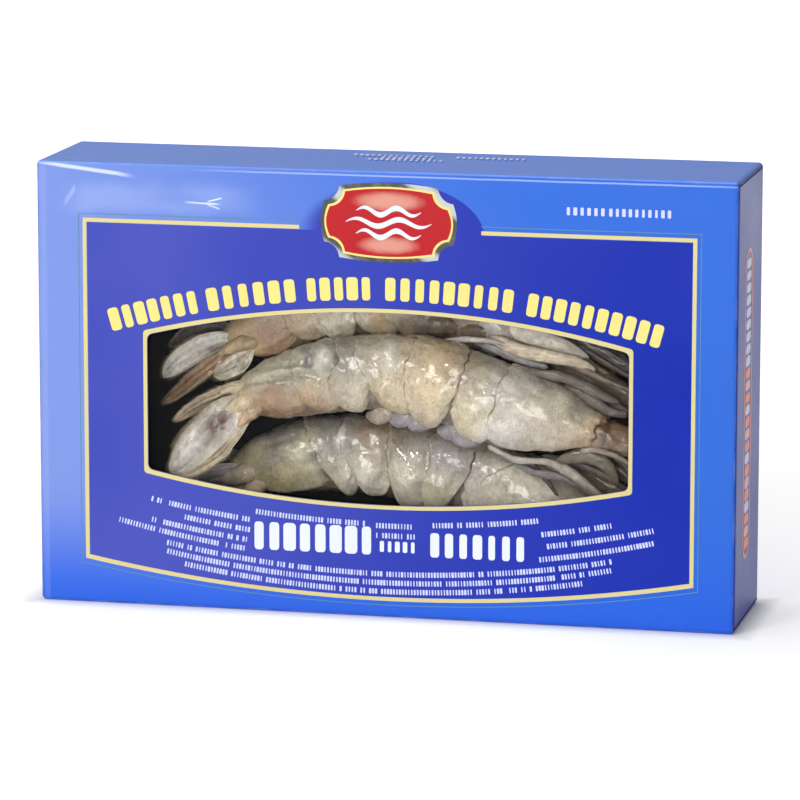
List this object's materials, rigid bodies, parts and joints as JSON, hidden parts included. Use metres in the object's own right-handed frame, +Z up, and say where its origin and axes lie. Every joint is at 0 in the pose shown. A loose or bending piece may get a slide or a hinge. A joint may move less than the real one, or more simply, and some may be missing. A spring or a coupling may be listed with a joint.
{
  "type": "boxed raw tiger prawns",
  "caption": "A shut blue freezer carton, printed with a framed panel and a plaque, whose arched film window shows whole raw tiger prawns lying head to tail one above another.",
  "frame": {"origin": "centre of the long bottom panel that the carton stands on", "axes": "X along the carton's width, to the right as one faces the window; Y through its depth, with the window facing -Y; Z up"},
  "size_m": [0.27, 0.058, 0.171],
  "materials": {
    "printed_board": "satin coated folding board printed in blues",
    "clear_film": "clear glossy plastic film",
    "raw_prawn": "wet translucent raw shell over pale flesh"
  },
  "bodies": {
    "root": {"carton": "printed_board", "window_film": "clear_film", "prawn_top": "raw_prawn", "prawn_middle": "raw_prawn", "prawn_bottom": "raw_prawn"}
  },
  "joints": []
}
